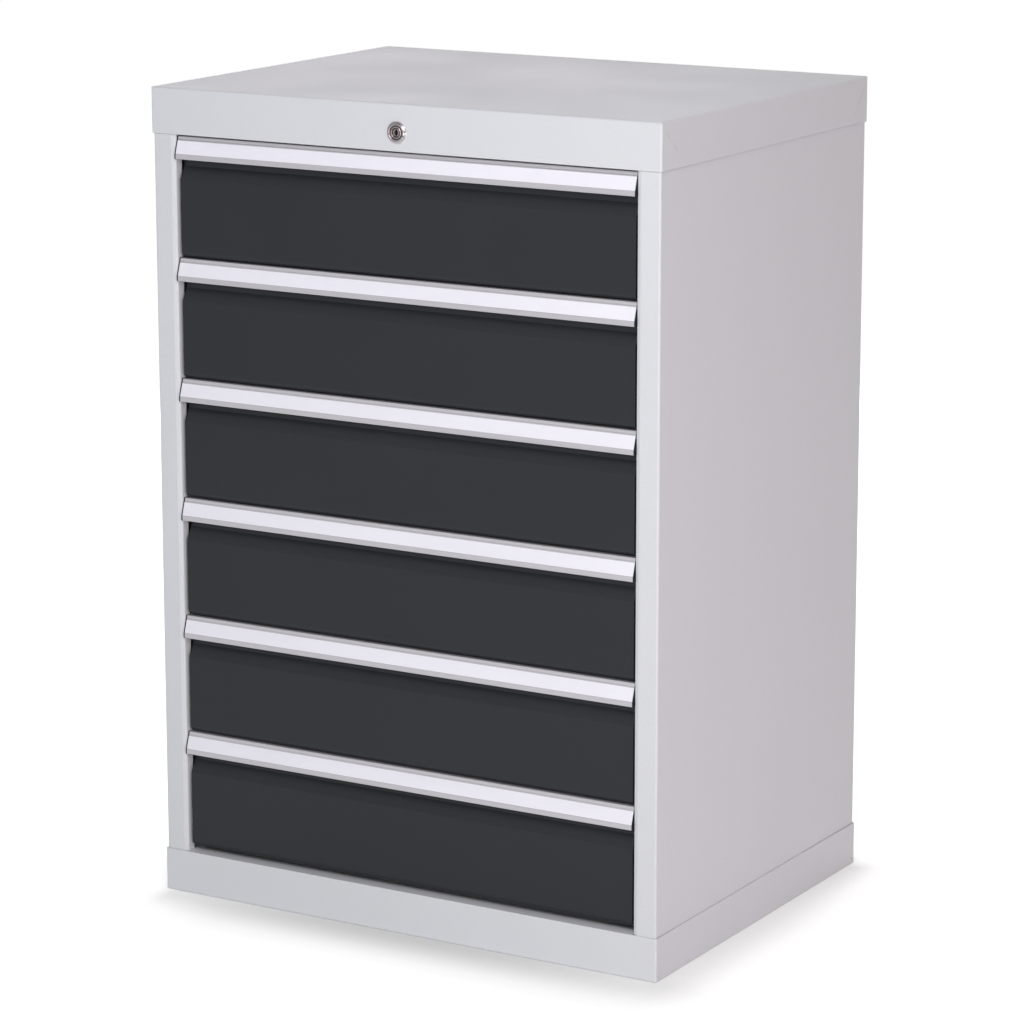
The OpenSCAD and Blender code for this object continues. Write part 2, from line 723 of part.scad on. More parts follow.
// The bracket from the rear head rail that carries the shaft and guides the rod
module lock_bracket() color(zinc) {
    arm_z = inside_top_z - head_rail_t - bracket_t;
    arm_y = rear_y - head_rail_d / 2;
    margin = lock_rod_r + 4;
    difference() {
        along_x(2 * (abs(rod_x) + margin))
            folded_sheet([[rod_y + margin, guide_z],
                          [bearing_y, guide_z],
                          [bearing_y, arm_z + bracket_t],
                          [arm_y, arm_z + bracket_t]], -bracket_t, panel_r);
        at_lock() rod_y_axis(lock_shaft_r + joint_play, bearing_y - 1, bearing_y + bracket_t + 1);
        rod_hole();
    }
}

module rod_hole()
    translate([rod_x, rod_y, 0])
        cylinder(r = lock_rod_r + slide_play, h = guide_z + bracket_t + 1, $fn = fine);

// The rod, with a slotted yoke on the crank's pin and a blade for each drawer
pin_z = lock_z - crank_drop;
module lock_rod() color(zinc) {
    rod_foot_z = floor_z - rod_foot;
    yoke_slot_h = 2 * (crank_pin_r + pin_play);
    yoke_slot_w = crank_r * (1 - cos(crank_swing)) + yoke_slot_h;
    rod_top_z = pin_z - (yoke_slot_h + yoke_wall) / 2;
    translate([rod_x, rod_y, rod_foot_z]) cylinder(r = lock_rod_r, h = rod_top_z - rod_foot_z, $fn = fine);
    translate([rod_x, rod_y, pin_z]) difference() {
        cube([yoke_slot_w + 2 * yoke_wall, yoke_t, yoke_slot_h + 2 * yoke_wall], center = true);
        cube([yoke_slot_w, 2 * yoke_t, yoke_slot_h], center = true);
    }
    for (n = [1:drawer_count])
        translate([rod_x, rod_y - blade_t / 2, tray_z(n) + catch_rise - stud_r - blade_gap - blade_h])
            cube([blade_len, blade_t, blade_h]);
}

left_side() side_panel();  // side_panel_left
side_panel();  // side_panel_right
rear_panel();
top_cover();
plinth();
floor_panel();
head_rail_front();
head_rail_rear();
left_side() post(post_front_y);  // post_front_left
post(post_front_y);  // post_front_right
left_side() post(post_rear_y);  // post_rear_left
post(post_rear_y);  // post_rear_right
left_side() cabinet_rails();  // cabinet_rails_left
cabinet_rails();  // cabinet_rails_right
rear_screws();
lock_housing();
lock_nut();
lock_bracket();
lock_core();
lock_shaft();
lock_rod();
for (n = [1:drawer_count]) {
    tray(n);
    drawer_front(n);
    drawer_grip(n);
    drawer_label(n);
    drawer_rails(n);
    middle_rails(n);
}
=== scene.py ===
# Steel drawer cabinet: finishes for its paint, zinc, aluminium, labels and lock, painted weld seams, lock
# rings, grip caps and rivets, the floor, studio light and camera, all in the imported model's own frame.
import json
import math

import bpy
import numpy as np
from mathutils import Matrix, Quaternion, Vector

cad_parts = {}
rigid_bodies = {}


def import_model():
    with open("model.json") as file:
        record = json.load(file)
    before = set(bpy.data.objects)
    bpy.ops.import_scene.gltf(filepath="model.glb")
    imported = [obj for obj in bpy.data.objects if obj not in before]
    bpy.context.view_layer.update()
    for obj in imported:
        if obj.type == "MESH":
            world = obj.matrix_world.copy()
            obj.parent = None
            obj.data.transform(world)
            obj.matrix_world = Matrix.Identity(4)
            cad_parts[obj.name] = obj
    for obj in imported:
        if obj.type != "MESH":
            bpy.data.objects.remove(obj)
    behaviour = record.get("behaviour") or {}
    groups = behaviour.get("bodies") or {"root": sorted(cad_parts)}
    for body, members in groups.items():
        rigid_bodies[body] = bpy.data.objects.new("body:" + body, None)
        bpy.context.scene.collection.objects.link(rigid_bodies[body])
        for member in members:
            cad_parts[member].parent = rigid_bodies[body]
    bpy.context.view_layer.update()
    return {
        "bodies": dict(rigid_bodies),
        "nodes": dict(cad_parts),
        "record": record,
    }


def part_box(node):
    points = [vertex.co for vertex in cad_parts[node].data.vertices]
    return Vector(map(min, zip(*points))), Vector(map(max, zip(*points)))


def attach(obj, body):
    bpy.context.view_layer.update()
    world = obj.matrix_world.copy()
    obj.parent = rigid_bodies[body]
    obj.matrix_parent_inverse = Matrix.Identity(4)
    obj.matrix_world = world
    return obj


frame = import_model()
drawerCount = sum(name.startswith("drawer_") for name in frame["bodies"])
print("frame:", len(frame["nodes"]), "nodes,", drawerCount, "drawers")

coverLow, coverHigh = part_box("top_cover")
plinthLow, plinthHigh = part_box("plinth")
coreLow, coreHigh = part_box("lock_core")
sides = ((-1, "left"), (1, "right"))


def makeCamera():
    look = {
        "place": (2.446, -4.143, 1.570),
        "azimuth": 30.58,       # degrees round from the front, towards the right side
        "elevation": 12.07,     # degrees above level
        "roll": -0.06,          # degrees
        "lens": 138.2,          # mm
        "sensor": 36,           # mm
        "shift": -0.0488,
    }
    a, e = math.radians(look["azimuth"]), math.radians(look["elevation"])
    back = Vector((math.sin(a) * math.cos(e), -math.cos(a) * math.cos(e), math.sin(e)))
    camera = bpy.data.objects.new("camera", bpy.data.cameras.new("camera"))
    camera.data.lens = look["lens"]
    camera.data.sensor_width = look["sensor"]
    camera.data.shift_y = look["shift"]
    camera.location = look["place"]
    camera.rotation_mode = "QUATERNION"
    roll = Quaternion((0, 0, 1), math.radians(look["roll"]))
    camera.rotation_quaternion = (-back).to_track_quat("-Z", "Y") @ roll
    bpy.context.scene.collection.objects.link(camera)
    bpy.context.scene.camera = camera


makeCamera()
print("camera set")


def startMaterial(name):
    # a new material, and its shader
    material = bpy.data.materials.new(name)
    material.use_nodes = True
    return material, material.node_tree.nodes["Principled BSDF"]


def feed(material, node, inputs):
    # inputs: socket name or number to a value, or to another node's output socket
    for key, value in inputs.items():
        if isinstance(value, bpy.types.NodeSocket):
            material.node_tree.links.new(value, node.inputs[key])
        else:
            node.inputs[key].default_value = value


def addNode(material, kind, inputs, **fields):
    # fields: the node's own settings, which come before its inputs
    node = material.node_tree.nodes.new(kind)
    for key, value in fields.items():
        setattr(node, key, value)
    feed(material, node, inputs)
    return node


def calculate(material, operation, *values):
    # a Math node's result
    return addNode(material, "ShaderNodeMath", dict(enumerate(values)), operation=operation).outputs[0]


def objectPoint(material, scale=(1, 1, 1), shift=(0, 0, 0)):
    # object coordinates in metres, stretched by scale and moved by shift
    place = addNode(material, "ShaderNodeTexCoord", {}).outputs["Object"]
    inputs = {"Vector": place, "Scale": scale, "Location": shift}
    return addNode(material, "ShaderNodeMapping", inputs).outputs[0]


def noise(material, point, scale, detail=2.0, roughness=0.5):
    inputs = {"Vector": point, "Scale": scale, "Detail": detail, "Roughness": roughness}
    return addNode(material, "ShaderNodeTexNoise", inputs).outputs["Fac"]


def spread(material, value, low, high, fromLow=0.3, fromHigh=0.7):
    # maps fromLow..fromHigh, by default most of a noise's range, to low..high, and stops at both ends
    inputs = {"Value": value, "From Min": fromLow, "From Max": fromHigh, "To Min": low, "To Max": high}
    return addNode(material, "ShaderNodeMapRange", inputs).outputs[0]


# Sockets of a Mix node that blends colours, by number, because its other kinds have the same names
mixSockets = {"share": 0, "first": 6, "second": 7, "result": 2}


def blendColours(material, share, first, second):
    inputs = {mixSockets["share"]: share, mixSockets["first"]: first, mixSockets["second"]: second}
    return addNode(material, "ShaderNodeMix", inputs, data_type="RGBA").outputs[mixSockets["result"]]


def shade(colour, gain=1.0):
    # a colour times gain, with its alpha
    return tuple(min(1.0, c * gain) for c in colour) + (1.0,)


def cloudy(material, cloud, colour, low, high):
    # a colour times low to high, as the cloud goes from its low to its high places
    return blendColours(material, spread(material, cloud, 0, 1), shade(colour, low), shade(colour, high))


bevelSamples = 4


def roundedEdge(material, radius):
    # normals as if every sharp edge were rounded with this radius
    return addNode(material, "ShaderNodeBevel", {"Radius": radius}, samples=bevelSamples).outputs[0]


def bumps(material, height, distance, normal=None, strength=1.0):
    # normals of a height field, laid over the normals that are given
    inputs = {"Height": height, "Distance": distance, "Strength": strength}
    if normal is not None:
        inputs["Normal"] = normal
    return addNode(material, "ShaderNodeBump", inputs).outputs[0]


def powderCoat(name, coat):
    # baked paint: fine orange peel over a slow wave, a faint cloudiness, specks, softly rounded folds
    material, shader = startMaterial(name)
    point = objectPoint(material)
    cloud = noise(material, point, coat["cloudScale"], detail=3.0)
    grain = noise(material, point, coat["grainScale"], detail=1.0)
    tone = cloudy(material, cloud, coat["colour"], 1 - coat["cloud"], 1 + coat["cloud"])
    specks = blendColours(material, spread(material, grain, 0, 1), tone, shade(coat["colour"], coat["speck"]))
    dent = noise(material, point, coat["waveScale"], detail=1.0)
    wave = bumps(material, dent, coat["wave"], roundedEdge(material, coat["edge"]))
    feed(material, shader, {
        "Base Color": blendColours(material, coat["speckShare"], tone, specks),
        "Roughness": spread(material, cloud, *coat["rough"]),
        "Specular IOR Level": coat["specular"],
        "Normal": bumps(material, noise(material, point, coat["peelScale"]), coat["peel"], wave)})
    return material


bodyPaint = powderCoat("bodyPaint", {
    "colour": (0.638, 0.648, 0.680), "cloud": 0.012, "cloudScale": 5.0, "speck": 0.86, "speckShare": 0.35,
    "grainScale": 900.0, "rough": (0.40, 0.50), "specular": 0.45, "edge": 0.0011,
    "peel": 0.00003, "peelScale": 620.0, "wave": 0.0004, "waveScale": 4.0})
frontPaint = powderCoat("frontPaint", {
    "colour": (0.0195, 0.0212, 0.0248), "cloud": 0.04, "cloudScale": 7.0, "speck": 1.4, "speckShare": 0.30,
    "grainScale": 1100.0, "rough": (0.33, 0.40), "specular": 0.17, "edge": 0.0011,
    "peel": 0.00003, "peelScale": 700.0, "wave": 0.0003, "waveScale": 5.0})
trayPaint = powderCoat("trayPaint", {
    "colour": (0.36, 0.37, 0.385), "cloud": 0.02, "cloudScale": 8.0, "speck": 0.8, "speckShare": 0.35,
    "grainScale": 900.0, "rough": (0.42, 0.55), "specular": 0.45, "edge": 0.0008,
    "peel": 0.00003, "peelScale": 620.0, "wave": 0.0003, "waveScale": 6.0})


def anodised(name, metal):
    # extruded aluminium: die lines that run along X, and a satin skin
    material, shader = startMaterial(name)
    lines = noise(material, objectPoint(material, metal["lineStretch"]), metal["lineScale"],
                  detail=4.0, roughness=0.65)
    drawn = noise(material, objectPoint(material, metal["drawnScale"]), 1.0, detail=3.0, roughness=0.6)
    coarse = bumps(material, drawn, metal["drawnDepth"], roundedEdge(material, metal["edge"]))
    feed(material, shader, {
        "Base Color": cloudy(material, drawn, metal["colour"], *metal["tone"]),
        "Roughness": spread(material, drawn, *metal["rough"]),
        "Metallic": metal["metallic"],
        "Normal": bumps(material, lines, metal["lineDepth"], coarse, metal["lineStrength"])})
    return material


gripAluminium = anodised("gripAluminium", {
    "colour": (0.460, 0.450, 0.475), "tone": (0.93, 1.05), "metallic": 0.40, "rough": (0.30, 0.42),
    "lineScale": 500.0, "lineStretch": (1.5, 1, 1), "lineDepth": 0.000005, "lineStrength": 0.5,
    "drawnScale": (3.0, 1600.0, 1600.0), "drawnDepth": 0.00001, "edge": 0.0005})


def labelStripFinish(name, paper):
    # paper strip under clear plastic: white with a cool cast, faint fibres, a glossy skin
    material, shader = startMaterial(name)
    cloud = noise(material, objectPoint(material, paper["fibreStretch"]), paper["fibreScale"])
    ripple = noise(material, objectPoint(material, paper["rippleStretch"]), paper["rippleScale"], detail=1.0)
    feed(material, shader, {
        "Base Color": cloudy(material, cloud, paper["colour"], 1 - paper["fibre"], 1 + paper["fibre"]),
        "Roughness": spread(material, cloud, *paper["rough"]),
        "Coat Weight": paper["skin"],
        "Coat Roughness": paper["skinRough"],
        "Normal": bumps(material, ripple, paper["ripple"])})
    return material


labelStrip = labelStripFinish("labelStrip", {
    "colour": (0.787, 0.775, 0.842), "fibre": 0.015, "fibreStretch": (1, 6, 6), "fibreScale": 9.0,
    "rough": (0.38, 0.46), "skin": 0.4, "skinRough": 0.22,
    "ripple": 0.00005, "rippleStretch": (1, 3, 3), "rippleScale": 30.0})


def zincPlate(name, zinc):
    # bright zinc: small cloudy spangle over a rolled sheet, "rough" from its dark to its pale places
    material, shader = startMaterial(name)
    point = objectPoint(material)
    cells = addNode(material, "ShaderNodeTexVoronoi", {"Vector": point, "Scale": zinc["spangleScale"]},
                    feature="F1").outputs["Color"]
    grey = addNode(material, "ShaderNodeRGBToBW", {"Color": cells}).outputs[0]
    cloud = noise(material, point, zinc["cloudScale"], detail=4.0, roughness=0.6)
    both = calculate(material, "MULTIPLY", grey, cloud)
    pale = spread(material, both, 0, 1, *zinc["range"])
    feed(material, shader, {
        "Base Color": blendColours(material, pale, shade(zinc["dark"]), shade(zinc["pale"])),
        "Roughness": spread(material, both, *zinc["rough"], *zinc["range"]),
        "Metallic": 1.0,
        "Normal": bumps(material, cloud, zinc["depth"], roundedEdge(material, zinc["edge"]))})
    return material


zincSteel = zincPlate("zincSteel", {
    "dark": (0.49, 0.51, 0.53), "pale": (0.62, 0.64, 0.66), "range": (0.05, 0.5), "rough": (0.43, 0.31),
    "spangleScale": 240.0, "cloudScale": 40.0, "depth": 0.00002, "edge": 0.0005})


def chromePlate(name, chrome):
    # polished plating with a painted shade on the rim's upper left and a painted highlight on its lower
    # right; the face inside the rim is painted dark with pale rings where sin(2 pi radius / pitch) is high,
    # as a painted reflection
    material, shader = startMaterial(name)
    point = objectPoint(material, shift=-(coreLow + coreHigh) / 2)
    flat = addNode(material, "ShaderNodeVectorMath", {0: point, 1: (1, 0, 1)},
                   operation="MULTIPLY").outputs[0]
    radius = addNode(material, "ShaderNodeVectorMath", {0: flat}, operation="LENGTH").outputs["Value"]
    turns = calculate(material, "MULTIPLY", radius, 2 * math.pi / chrome["pitch"])
    crest = calculate(material, "SINE", turns)
    # the face: a painted reflection, dark with pale rings
    face = blendColours(material, spread(material, crest, 0, 1, *chrome["crest"]), shade(chrome["dark"]),
                        shade(chrome["pale"]))
    # the rim: painted shade on its upper left and a painted highlight on its lower right
    slant = addNode(material, "ShaderNodeVectorMath", {0: flat, 1: chrome["slant"]},
                    operation="DOT_PRODUCT").outputs["Value"]
    rim = blendColours(material, spread(material, slant, 0, 1, *chrome["turn"]), shade(chrome["rimShade"]),
                       shade(chrome["rim"]))
    rings = addNode(material, "ShaderNodeTexWave", {
        "Vector": point, "Scale": chrome["ringScale"], "Distortion": chrome["ringDistortion"],
        "Detail": chrome["ringDetail"]}, wave_type="RINGS", rings_direction="Y").outputs["Fac"]
    feed(material, shader, {
        "Base Color": blendColours(material, spread(material, radius, 0, 1, *chrome["face"]), face, rim),
        "Roughness": spread(material, rings, *chrome["rough"], 0, 1),
        "Metallic": 1.0,
        "Normal": bumps(material, rings, chrome["ringDepth"])})
    return material


# "slant" points to the rim's lower right, and "turn" is where along it the rim goes from its painted shade
# to its painted highlight; "face" is the radius at which the face ends and the rim begins
lockChrome = chromePlate("lockChrome", {
    "rim": (0.47, 0.46, 0.47), "rimShade": (0.27, 0.25, 0.26), "slant": (0.7, 0, -0.7), "turn": (-0.006, 0.002),
    "dark": (0.070, 0.060, 0.063), "pale": (0.42, 0.37, 0.38), "face": (0.0101, 0.0106),
    "pitch": 0.0029, "crest": (0.1, 1.0), "rough": (0.10, 0.20),
    "ringScale": 900.0, "ringDistortion": 1.5, "ringDetail": 2.0, "ringDepth": 0.000004})


def mouldedPlastic(name, plastic):
    # injection-moulded plastic with a fine spark-eroded grain
    material, shader = startMaterial(name)
    point = objectPoint(material)
    grain = noise(material, point, plastic["grainScale"])
    cloud = noise(material, point, plastic["cloudScale"])
    feed(material, shader, {
        "Base Color": cloudy(material, cloud, plastic["colour"], *plastic["tone"]),
        "Roughness": spread(material, grain, *plastic["rough"]),
        "Specular IOR Level": plastic["specular"],
        "Normal": bumps(material, grain, plastic["grainDepth"])})
    return material


capPlastic = mouldedPlastic("capPlastic", {
    "colour": (0.0075, 0.0075, 0.0085), "tone": (0.9, 1.1), "cloudScale": 60.0, "rough": (0.42, 0.55),
    "specular": 0.2, "grainScale": 2500.0, "grainDepth": 0.00001})

finishes = {
    "body_paint": bodyPaint, "front_paint": frontPaint, "grip_aluminium": gripAluminium,
    "label_strip": labelStrip, "tray_paint": trayPaint, "zinc_plate": zincSteel, "lock_chrome": lockChrome,
}
for part in frame["record"]["subparts"]:
    node = frame["nodes"][part["node"]]
    node.data.materials.clear()
    node.data.materials.append(finishes[part["material_slot"]])


def surfacePiece(name, points, faces, finish, body):
    # a mesh of points and faces in the model's frame, with its finish, riding on a body
    mesh = bpy.data.meshes.new(name)
    mesh.from_pydata(points.reshape(-1, 3).tolist(), [], faces)
    mesh.materials.append(finish)
    piece = bpy.data.objects.new(name, mesh)
    bpy.context.scene.collection.objects.link(piece)
    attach(piece, body)


def gridFaces(rows, columns, closedRows=False, closedColumns=False):
    # quads of a rows x columns grid of points, row by row
    r = np.arange(rows if closedRows else rows - 1)
    c = np.arange(columns if closedColumns else columns - 1)
    a = (r[:, None] * columns + c[None, :]).ravel()
    b = (r[:, None] * columns + (c[None, :] + 1) % columns).ravel()
    step = ((r + 1) % rows)[:, None] * columns
    d = (step + c[None, :]).ravel()
    e = (step + (c[None, :] + 1) % columns).ravel()
    return np.stack([a, b, e, d], axis=1).tolist()


def turnedOver(faces):
    # the same faces, looking the other way
    return [face[::-1] for face in faces]


def paintedBead(name, start, end, away, bead):
    # A seam under the paint. Half an ellipse, sunk by a share of its height, is carried from start to end
    # with its size times sqrt(1 - (2t - 1)^4), which tapers to nothing at both ends, and a slight ripple.
    # away is the direction that it stands out of the sheet.
    start, end, away = (np.array(v, float) for v in (start, end, away))
    along = (end - start) / np.linalg.norm(end - start)
    across = np.cross(away, along)
    t = np.linspace(0, 1, bead["rings"])
    a = np.linspace(0, math.pi, bead["steps"])
    ripple = 1 + bead["ripple"] * np.sin(bead["rippleTurn"] * t)
    fat = (np.sqrt(np.clip(1 - (2 * t - 1) ** 4, 0, 1)) * ripple)[:, None, None]
    points = (start + (end - start) * t[:, None])[:, None, :] \
        + across * (np.cos(a) * bead["width"] / 2)[None, :, None] * fat \
        + away * ((np.sin(a) - bead["sunk"]) * bead["height"])[None, :, None] * fat
    faces = gridFaces(bead["rings"], bead["steps"], closedColumns=True)
    surfacePiece(name, points, faces, bodyPaint, "root")


# The mitred corners of the cover's side skirts and of the plinth's foot, welded, dressed and painted over.
# "corner" is the shell, -1 or 1 for its front or rear, and -1 or 1 for its foot or top; the seam runs
# between two places, each so far in and so far down or up from that corner.
seams = {
    "cover_seam_front": {"corner": ("cover", -1, 1), "from": (0.010, 0.012), "to": (0.038, 0.037)},
    "cover_seam_rear": {"corner": ("cover", 1, 1), "from": (0.010, 0.010), "to": (0.037, 0.047)},
    "plinth_seam_front": {"corner": ("plinth", -1, -1), "from": (0.002, 0.003), "to": (0.013, 0.011)},
    "plinth_seam_rear": {"corner": ("plinth", 1, -1), "from": (0.002, 0.003), "to": (0.013, 0.011)},
}
weld = {"width": 0.0022, "height": 0.00028, "sunk": 0.25, "ripple": 0.08, "rippleTurn": 47,
        "rings": 40, "steps": 9}
shells = {"cover": (coverLow, coverHigh), "plinth": (plinthLow, plinthHigh)}
for name, seam in seams.items():
    shell, rear, top = seam["corner"]
    low, high = shells[shell]
    y, z = (high if rear > 0 else low).y, (high if top > 0 else low).z
    for side, word in sides:
        start, end = ((side * high.x, y - rear * inwards, z - top * away)
                      for inwards, away in (seam["from"], seam["to"]))
        paintedBead(name + "_" + word, start, end, (side, 0, 0), weld)

# Painted sealant along each side panel's foot, "over" outside its face, on the plinth's top edge
sealant = {"width": 0.0021, "height": 0.0006, "sunk": 0.25, "ripple": 0.08, "rippleTurn": 47,
           "rings": 60, "steps": 13, "fromEnd": 0.006, "over": 0.00075}
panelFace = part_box("side_panel_right")[1].x
for side, word in sides:
    x = side * (panelFace + sealant["over"])
    paintedBead("plinth_joint_" + word, (x, plinthLow.y + sealant["fromEnd"], plinthHigh.z),
                (x, plinthHigh.y - sealant["fromEnd"], plinthHigh.z), (0, 0, 1), sealant)
print("seams done")


def revolvedRing(name, profile, centre, turns, finish, body):
    # a closed profile of (radius, height) pairs turned about the line through centre along -Y:
    # point (i, j) = centre + radius_i (cos a_j, 0, sin a_j) - height_i in Y
    a = np.linspace(0, 2 * math.pi, turns, endpoint=False)
    radius, height = profile.T
    points = np.stack([centre[0] + radius[:, None] * np.cos(a)[None, :],
                       centre[1] - height[:, None] * np.ones(turns)[None, :],
                       centre[2] + radius[:, None] * np.sin(a)[None, :]], axis=2)
    faces = turnedOver(gridFaces(len(profile), turns, closedRows=True, closedColumns=True))
    surfacePiece(name, points, faces, finish, body)


def turnedFace(ring):
    # section of a turned face: a line from the inner to the outer radius that rises by "rise", with
    # "waves" raised-cosine ridges of "ridge" height on it, and a flat back "thick" behind it
    t = np.linspace(0, 1, ring["steps"] * ring["waves"] + 1)
    radius = ring["inner"] + (ring["outer"] - ring["inner"]) * t
    height = ring["rise"] * t + ring["ridge"] * (0.5 - 0.5 * np.cos(2 * math.pi * ring["waves"] * t))
    front = np.stack([radius, height], axis=1)
    back = front[[-1, 0]] - [0, ring["thick"]]
    return np.concatenate([front, back])


# Turned rings on the lock, "lift" in front of its core's face: one lies on the head's dish and stays, one
# lies on the core and turns with it
lockRings = {
    "lock_head_ring": {"inner": 0.0075, "outer": 0.0100, "rise": 0.00113, "ridge": 0.00022, "waves": 2,
                       "steps": 12, "turns": 72, "thick": 0.00012, "lift": 0.00016, "body": "root"},
    "lock_core_ring": {"inner": 0.0049, "outer": 0.0068, "rise": 0.0, "ridge": 0.00028, "waves": 2,
                       "steps": 12, "turns": 72, "thick": 0.00010, "lift": 0.00011, "body": "lock"},
}
for name, ring in lockRings.items():
    centre = ((coreLow.x + coreHigh.x) / 2, coreLow.y - ring["lift"], (coreLow.z + coreHigh.z) / 2)
    revolvedRing(name, turnedFace(ring), centre, ring["turns"], lockChrome, ring["body"])
print("lock rings done")


# The grip strip's section from its top down: an upright bead, "beadSet" behind the lip, whose foot steps
# out to "lean" behind the lip, a label face that slopes from there out to the lip, and the upright lip.
# The caps close the strips' ends.
gripSection = {"beadSet": 0.0064, "beadHeight": 0.0046, "beadStep": 0.0008, "lean": 0.0055,
               "lipHeight": 0.0058, "round": 0.0010, "roundSteps": 6}
gripCap = {"thick": 0.00115, "chamfer": 0.00015, "proud": 0.00025, "overlap": 0.00035, "sharpest": 0.5}


def quarterArc(centre, radius, start, steps):
    # points of a quarter circle, centre + radius (cos a, sin a), that begins at the angle start in degrees
    a = np.radians(np.linspace(start, start + 90, steps))
    return np.array(centre) + radius * np.stack([np.cos(a), np.sin(a)], axis=1)


def gripOutline(depth, height):
    # the strip's outer outline: columns are the distance behind the lip and the distance below the top
    section = gripSection
    r, steps = section["round"], section["roundSteps"]
    return np.concatenate([
        [[depth, 0]],
        quarterArc((section["beadSet"] + r, r), r, 180, steps)[::-1],
        [[section["beadSet"], section["beadHeight"] - section["beadStep"]],
         [section["lean"], section["beadHeight"]],
         [0, height - section["lipHeight"]]],
        quarterArc((r, height - r), r, 90, steps)[::-1],
        [[depth, height]]])


def shrunk(outline, distance, sharpest):
    # moves each corner of a closed outline inwards, by distance from both of its edges: along the sum of
    # the edges' unit normals, times 2 distance over its square, which is held above sharpest
    before = outline - np.roll(outline, 1, axis=0)
    before = before / np.linalg.norm(before, axis=1, keepdims=True)
    normal = np.stack([before[:, 1], -before[:, 0]], axis=1)
    middle = normal + np.roll(normal, -1, axis=0)
    return outline + distance * 2 * middle / np.maximum((middle ** 2).sum(1, keepdims=True), sharpest)


def endCap(name, body, grip, side, cap):
    # the outline, a little proud of the strip, carried along X from just inside the strip's end, with its
    # outer edge chamfered: point (i, j) is corner j of the outline in ring i
    low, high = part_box(grip)
    outline = gripOutline(high.y - low.y, high.z - low.z)
    rings = ((-cap["overlap"], -cap["proud"]), (cap["thick"] - cap["chamfer"], -cap["proud"]),
             (cap["thick"], cap["chamfer"] - cap["proud"]))
    points = []
    for along, inwards in rings:
        flat = shrunk(outline, inwards, cap["sharpest"])
        x = np.full(len(flat), side * (high.x + along))
        points.append(np.stack([x, low.y + flat[:, 0], high.z - flat[:, 1]], axis=1))
    n = len(outline)
    faces = gridFaces(len(rings), n, closedColumns=True)
    faces += [list(range(n))[::-1], list(range((len(rings) - 1) * n, len(rings) * n))]
    if side < 0:
        faces = turnedOver(faces)
    surfacePiece(name, np.array(points), faces, capPlastic, body)


for number in range(1, drawerCount + 1):
    drawer = "drawer_%d" % number
    for side, word in sides:
        endCap(drawer + "_cap_" + word, drawer, drawer + "_grip", side, gripCap)
print("grip caps done")


def rivetHead(rivet):
    # a blind rivet's domed head: height = rise * (1 - share^crown) at each share of the radius, with a
    # round pit in its middle, in its own frame with the dome towards +Z: its points, rows and columns
    share = np.array(rivet["shares"])
    height = rivet["rise"] * (1 - share ** rivet["crown"])
    height[0] = -rivet["sink"]
    height[-len(rivet["pitShape"]):] -= rivet["pit"] * np.array(rivet["pitShape"])
    a = np.linspace(0, 2 * math.pi, rivet["turns"], endpoint=False)
    r = share[:-1, None] * rivet["radius"]
    rings = np.stack([r * np.cos(a), r * np.sin(a), np.repeat(height[:-1, None], len(a), 1)], axis=2)
    return np.concatenate([rings.reshape(-1, 3), [[0, 0, height[-1]]]]), len(r), len(a)


def rivetRow(name, places, rivet, body):
    # every head is the same surface, turned so that its dome points along X away from its wall
    head, rows, columns = rivetHead(rivet)
    last = (rows - 1) * columns
    crown = [[last + j, last + (j + 1) % columns, len(head) - 1] for j in range(columns)]
    foot = [list(range(columns))[::-1]]
    headFaces = gridFaces(rows, columns, closedColumns=True) + crown + foot
    points, faces = [], []
    for i, (x, y, z, inwards) in enumerate(places):
        points.append(np.stack([x + inwards * head[:, 2], y + inwards * head[:, 0], z + head[:, 1]], axis=1))
        faces += [[k + i * len(head) for k in face] for face in headFaces]
    surfacePiece(name, np.concatenate(points), faces, zincSteel, body)


# Four on each side hold a drawer's rail to its tray, whose walls are "wall" thick and "depth" long. The
# dome's rings lie at "shares" of its radius, and the last ones go down into the pit by "pitShape".
trayRivets = {"radius": 0.0040, "rise": 0.0015, "crown": 2.4, "sink": 0.0001, "turns": 20,
              "shares": (1.0, 0.97, 0.88, 0.72, 0.52, 0.38, 0.33, 0.28, 0.0),
              "pit": 0.0007, "pitShape": (0.25, 0.9, 1.0),
              "count": 4, "wall": 0.0012, "depth": 0.4024, "fromEnd": 0.035}
for number in range(1, drawerCount + 1):
    drawer = "drawer_%d" % number
    low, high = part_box(drawer + "_tray")
    railLow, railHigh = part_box(drawer + "_rails")
    along = low.y + np.linspace(trayRivets["fromEnd"], trayRivets["depth"] - trayRivets["fromEnd"],
                                trayRivets["count"])
    places = [(side * (high.x - trayRivets["wall"]), y, (railLow.z + railHigh.z) / 2, -side)
              for side in (-1, 1) for y in along]
    rivetRow(drawer + "_rivets", places, trayRivets, drawer)
print("rivets done")


